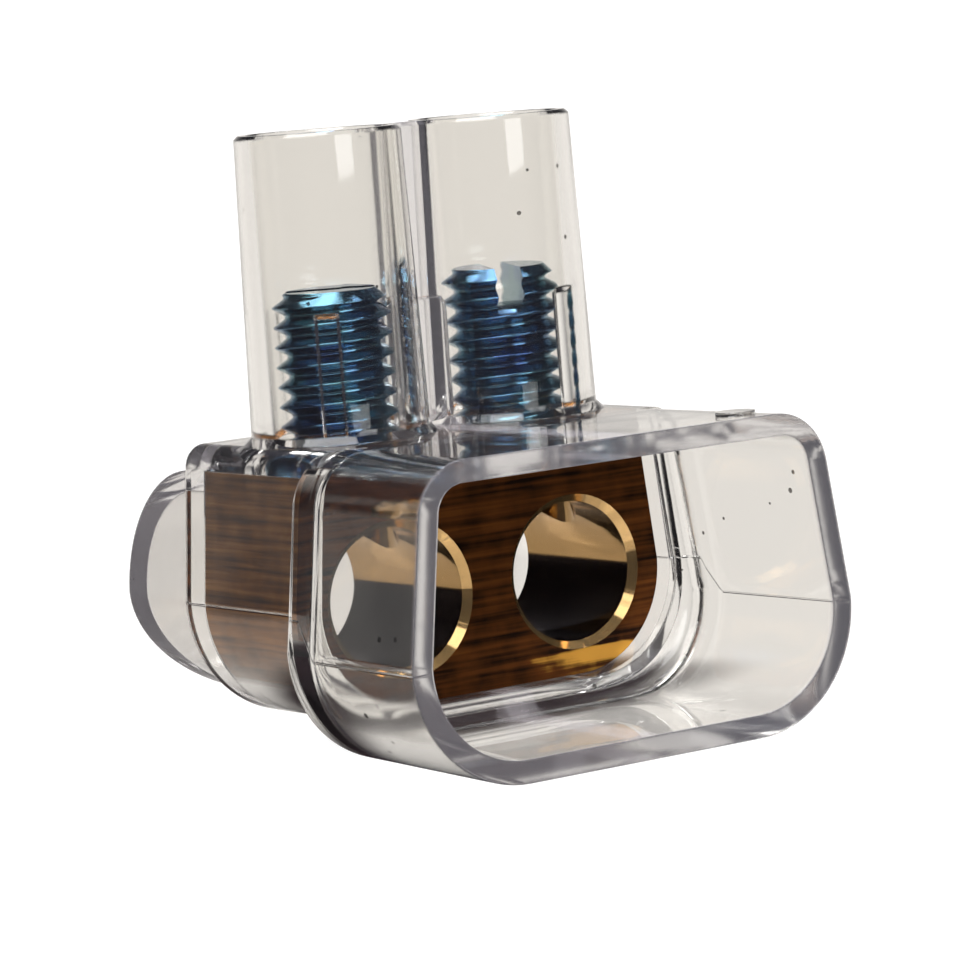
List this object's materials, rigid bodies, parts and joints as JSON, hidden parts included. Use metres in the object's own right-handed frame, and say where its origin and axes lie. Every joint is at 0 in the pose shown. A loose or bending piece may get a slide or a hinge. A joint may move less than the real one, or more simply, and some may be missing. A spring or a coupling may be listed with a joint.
{
  "type": "splice terminal block",
  "caption": "Clear moulded housing round a brass block; wires enter side by side at the open skirt and slotted screws in tall guide tubes press down on them.",
  "frame": {"origin": "under the middle of the part's outline, level with the bottom of the skirt's rim", "axes": "-Y towards the open skirt where the wires enter, +Z along the screws, out of the tubes, +X to the right seen from the skirt"},
  "size_m": [0.0264, 0.0302, 0.0314],
  "materials": {
    "clear_plastic": "polished",
    "drawn_brass": "drawn, browned with age",
    "blue_zinc_steel": "blue passivated zinc"
  },
  "bodies": {
    "housing": {"insulating_housing": "clear_plastic", "terminal_block": "drawn_brass"},
    "left_screw": {"clamp_screw_left": "blue_zinc_steel"},
    "right_screw": {"clamp_screw_right": "blue_zinc_steel"}
  },
  "joints": [
    {"name": "left_screw_travel", "type": "slide", "parent": "housing", "child": "left_screw", "axis": [0, 0, 1], "range_m": [-0.006, 0.0024]},
    {"name": "right_screw_travel", "type": "slide", "parent": "housing", "child": "right_screw", "axis": [0, 0, 1], "range_m": [-0.0062, 0.0022]}
  ]
}
